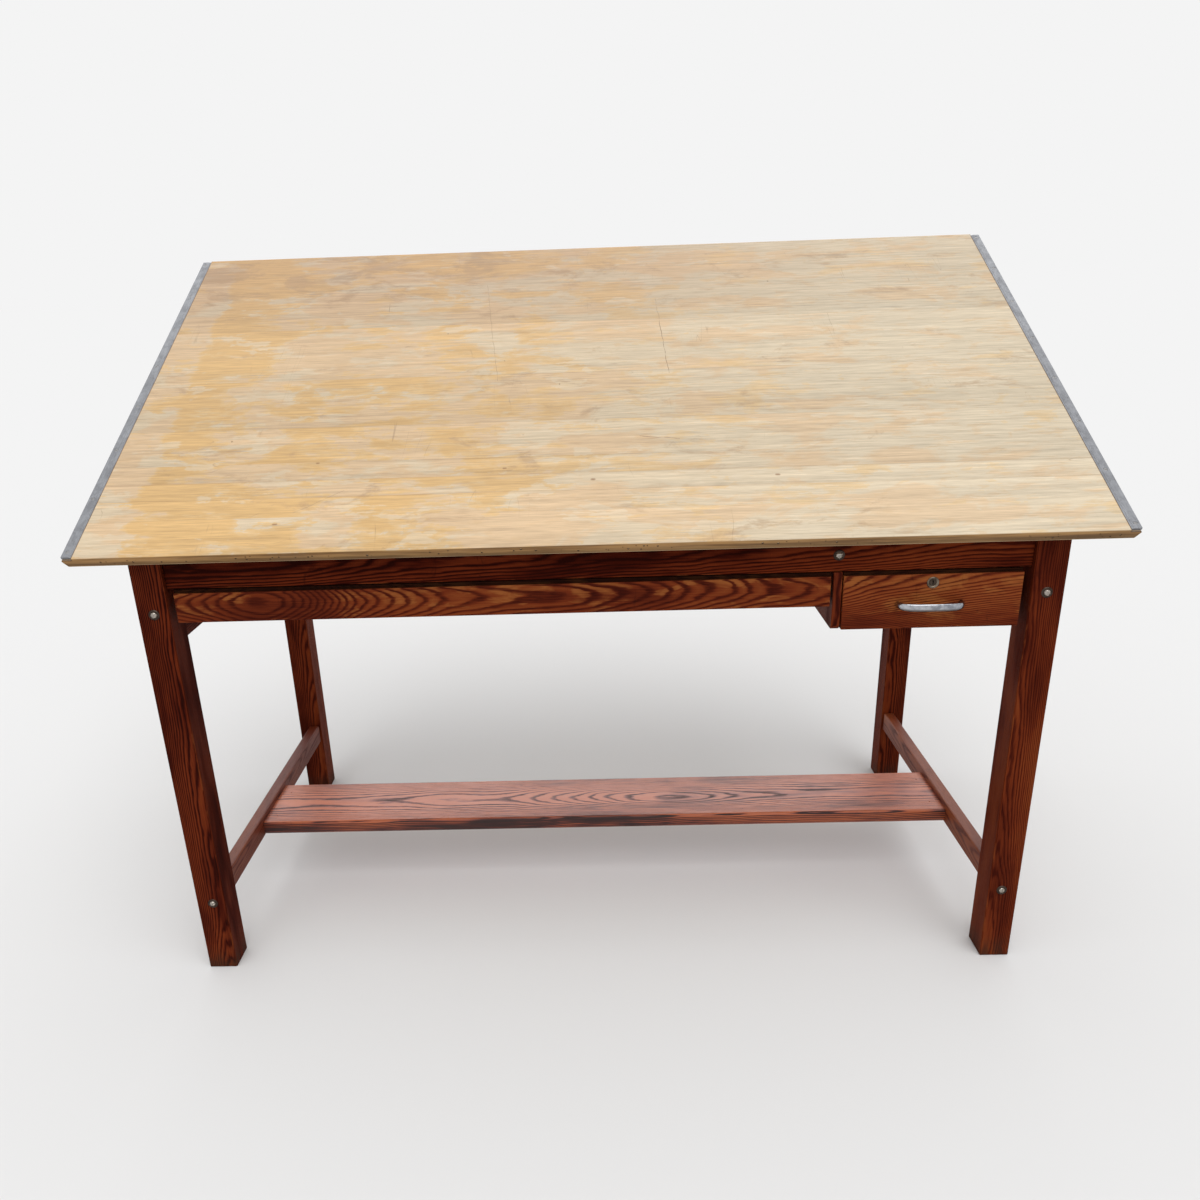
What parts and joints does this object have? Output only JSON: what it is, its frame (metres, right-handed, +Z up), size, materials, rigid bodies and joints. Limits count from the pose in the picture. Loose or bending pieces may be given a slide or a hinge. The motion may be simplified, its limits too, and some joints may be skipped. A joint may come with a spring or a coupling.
{
  "type": "drafting table",
  "caption": "Four-post oak drafting table with a hinged tilting board, steel board edges, a wide plan drawer, a lockable tool drawer and a footboard.",
  "frame": {"origin": "on the floor under the middle of the table's bounding box with the board at 31.25 degrees", "axes": "+X to the user's right, +Y away from the user, +Z up"},
  "size_m": [1.8288, 0.8284, 1.3904],
  "materials": {
    "stained_oak": "red-brown stained oak, satin varnish",
    "board_wood": "pale softwood drawing board, worn amber varnish",
    "drawer_wood": "plain unstained drawer wood",
    "edge_steel": "worn bare steel strip",
    "dark_steel": "darkened steel hardware",
    "chrome": "polished chrome",
    "nickel": "dull nickel"
  },
  "bodies": {
    "base": {"leg_front_left": "stained_oak", "leg_front_right": "stained_oak", "leg_rear_left": "stained_oak", "leg_rear_right": "stained_oak", "side_apron_left": "stained_oak", "side_apron_right": "stained_oak", "front_rail": "stained_oak", "rear_rail": "stained_oak", "stretcher_left": "stained_oak", "stretcher_right": "stained_oak", "footboard": "stained_oak", "partition": "stained_oak", "plan_runner_left": "drawer_wood", "plan_runner_right": "drawer_wood", "tool_runner_left": "drawer_wood", "tool_runner_right": "drawer_wood", "hinge_leaf_rail_left": "dark_steel", "hinge_leaf_rail_right": "dark_steel", "hinge_pin_left": "dark_steel", "hinge_pin_right": "dark_steel", "clamp_bracket_left": "dark_steel", "clamp_bracket_right": "dark_steel", "bolt_front_rail": "dark_steel", "bolt_front_left_upper": "dark_steel", "bolt_front_left_lower": "dark_steel", "bolt_front_right_upper": "dark_steel", "bolt_front_right_lower": "dark_steel", "bolt_rear_left_upper": "dark_steel", "bolt_rear_left_lower": "dark_steel", "bolt_rear_right_upper": "dark_steel", "bolt_rear_right_lower": "dark_steel"},
    "board": {"board_panel": "board_wood", "steel_edge_left": "edge_steel", "steel_edge_right": "edge_steel", "board_cleat_left": "board_wood", "board_cleat_right": "board_wood", "hinge_leaf_board_left": "dark_steel", "hinge_leaf_board_right": "dark_steel", "clevis_left": "dark_steel", "clevis_right": "dark_steel"},
    "rod_left": {"elevating_rod_left": "dark_steel"},
    "rod_right": {"elevating_rod_right": "dark_steel"},
    "clamp_left": {"clamp_block_left": "dark_steel"},
    "clamp_right": {"clamp_block_right": "dark_steel"},
    "wing_screw_left": {"thumb_screw_left": "dark_steel"},
    "wing_screw_right": {"thumb_screw_right": "dark_steel"},
    "plan_drawer": {"plan_drawer_front": "stained_oak", "plan_drawer_back": "drawer_wood", "plan_drawer_bottom": "drawer_wood", "plan_drawer_side_left": "drawer_wood", "plan_drawer_side_right": "drawer_wood"},
    "tool_drawer": {"tool_drawer_front": "stained_oak", "tool_drawer_back": "drawer_wood", "tool_drawer_bottom": "drawer_wood", "tool_drawer_side_left": "drawer_wood", "tool_drawer_side_right": "drawer_wood", "handle": "chrome", "lock_barrel": "nickel"},
    "drawer_lock": {"lock_plug": "nickel", "lock_cam": "nickel"}
  },
  "joints": [
    {"name": "board_tilt", "type": "hinge", "parent": "base", "child": "board", "pos_m": [0, -0.37905, 0.8875], "axis": [1, 0, 0], "range_deg": [-31.25, 13.75]},
    {"name": "rod_left_pivot", "type": "hinge", "parent": "board", "child": "rod_left", "pos_m": [-0.74, 0.17989, 1.20737], "axis": [1, 0, 0], "range_deg": [-6.9, 15.65]},
    {"name": "clamp_left_swivel", "type": "hinge", "parent": "base", "child": "clamp_left", "pos_m": [-0.74, 0.26118, 0.8179], "axis": [1, 0, 0], "range_deg": [-15.65, 6.9]},
    {"name": "wing_screw_left_turn", "type": "hinge", "parent": "clamp_left", "child": "wing_screw_left", "pos_m": [-0.74, 0.26118, 0.8179], "axis": [1, 0, 0], "range_deg": [-180, 0]},
    {"name": "rod_right_pivot", "type": "hinge", "parent": "board", "child": "rod_right", "pos_m": [0.74, 0.17989, 1.20737], "axis": [1, 0, 0], "range_deg": [-6.9, 15.65]},
    {"name": "clamp_right_swivel", "type": "hinge", "parent": "base", "child": "clamp_right", "pos_m": [0.74, 0.26118, 0.8179], "axis": [1, 0, 0], "range_deg": [-15.65, 6.9]},
    {"name": "wing_screw_right_turn", "type": "hinge", "parent": "clamp_right", "child": "wing_screw_right", "pos_m": [0.74, 0.26118, 0.8179], "axis": [-1, 0, 0], "range_deg": [-180, 0]},
    {"name": "plan_drawer_slide", "type": "slide", "parent": "base", "child": "plan_drawer", "axis": [0, -1, 0], "range_m": [0, 0.42]},
    {"name": "tool_drawer_slide", "type": "slide", "parent": "base", "child": "tool_drawer", "axis": [0, -1, 0], "range_m": [0, 0.42]},
    {"name": "lock_turn", "type": "hinge", "parent": "tool_drawer", "child": "drawer_lock", "pos_m": [0.589, -0.38105, 0.7998], "axis": [0, -1, 0], "range_deg": [0, 90]}
  ],
  "couplings": [
    {"joint": "rod_left_pivot", "follows": "board_tilt", "ratio": -0.5},
    {"joint": "clamp_left_swivel", "follows": "board_tilt", "ratio": 0.5},
    {"joint": "rod_right_pivot", "follows": "board_tilt", "ratio": -0.5},
    {"joint": "clamp_right_swivel", "follows": "board_tilt", "ratio": 0.5}
  ]
}
